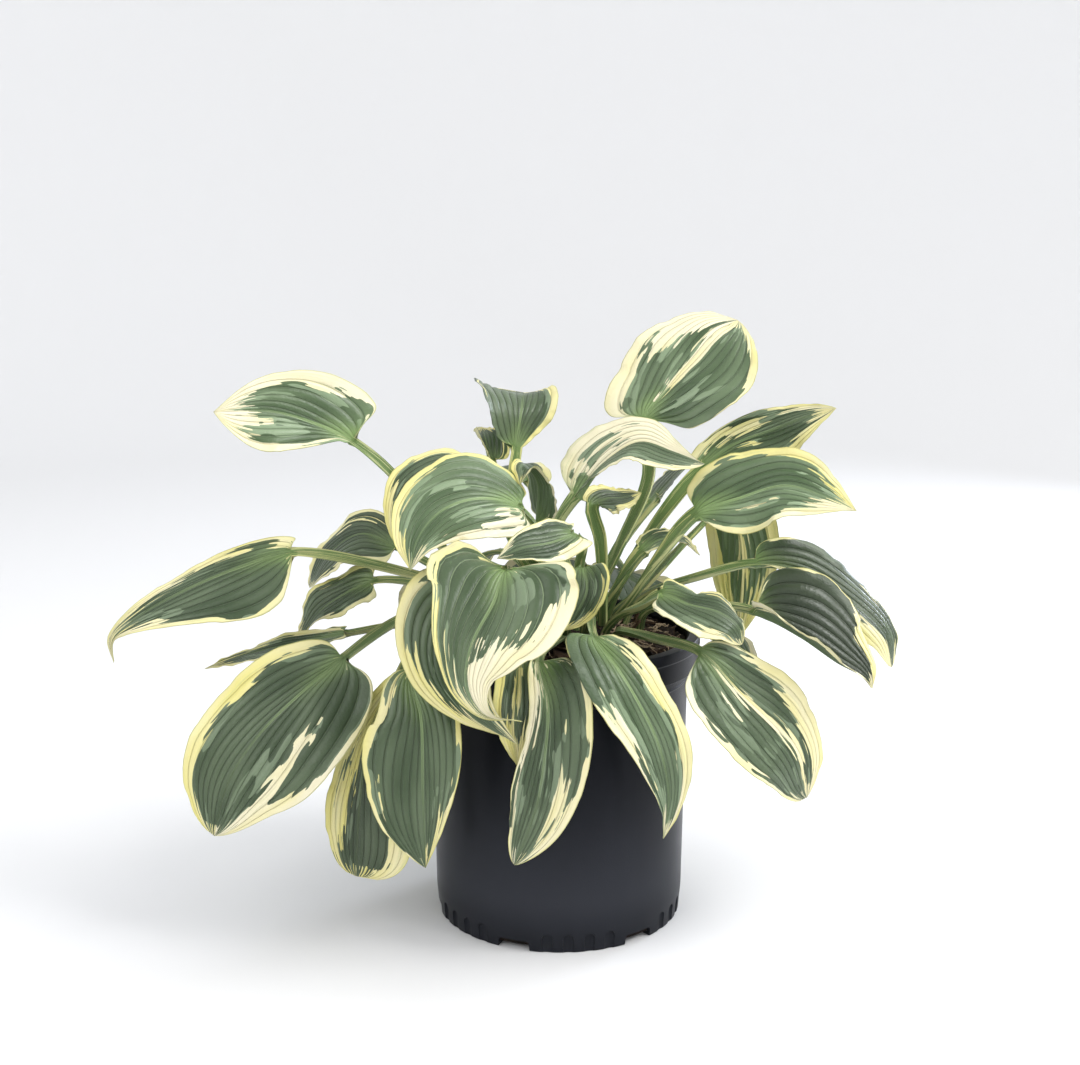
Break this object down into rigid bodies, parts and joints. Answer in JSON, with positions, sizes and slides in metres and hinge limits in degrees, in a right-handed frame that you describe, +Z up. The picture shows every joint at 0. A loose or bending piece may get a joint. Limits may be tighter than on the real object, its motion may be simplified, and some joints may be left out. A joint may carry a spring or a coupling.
{
  "type": "potted hosta plant",
  "caption": "Variegated hosta with arching heart-shaped leaves on channelled stalks, growing in soil in a round black nursery pot.",
  "frame": {"origin": "middle of the pot's flat underside", "axes": "+Z up, -Y towards the front that the picture shows, +X to the right as seen from the front"},
  "size_m": [0.6162, 0.3711, 0.472],
  "materials": {
    "pot": "satin black moulded plastic with a faint sheen",
    "soil": "crumbly dark potting mix with bark and pale roots",
    "leaf": "blue-green leaf with ribbed veins and a wide cream to yellow margin",
    "dry_stalk": "dry brown fibrous stalk"
  },
  "bodies": {
    "root": {"pot": "pot", "soil": "soil", "dry_stalk_1": "dry_stalk", "dry_stalk_2": "dry_stalk", "dry_stalk_3": "dry_stalk", "leaf_upper_left": "leaf", "leaf_left_long": "leaf", "leaf_low_left_big": "leaf", "leaf_low_left_sliver": "leaf", "leaf_low_left_second": "leaf", "leaf_low_left_third": "leaf", "leaf_centre_left_dome": "leaf", "leaf_centre_left_back": "leaf", "leaf_front_heart": "leaf", "leaf_front_left_under": "leaf", "leaf_front_low_back": "leaf", "leaf_small_curl": "leaf", "leaf_front_right_under": "leaf", "leaf_front_bottom": "leaf", "leaf_front_right": "leaf", "leaf_low_right": "leaf", "leaf_mid_right_small": "leaf", "leaf_right_long": "leaf", "leaf_right_under": "leaf", "leaf_right_back_hanging": "leaf", "leaf_right_upper": "leaf", "leaf_right_upper_back": "leaf", "leaf_top_round": "leaf", "leaf_centre_arch": "leaf", "leaf_top_left_heart": "leaf", "leaf_back_left_fold": "leaf", "leaf_inner_green_arch": "leaf", "leaf_left_back_upper": "leaf", "leaf_left_back_lower": "leaf", "leaf_inner_dark": "leaf", "leaf_back_right_dark": "leaf", "leaf_inner_small": "leaf", "leaf_back_centre": "leaf", "leaf_back_left": "leaf", "leaf_back_right": "leaf", "leaf_back_right_low": "leaf", "leaf_back_upper": "leaf"}
  },
  "joints": []
}
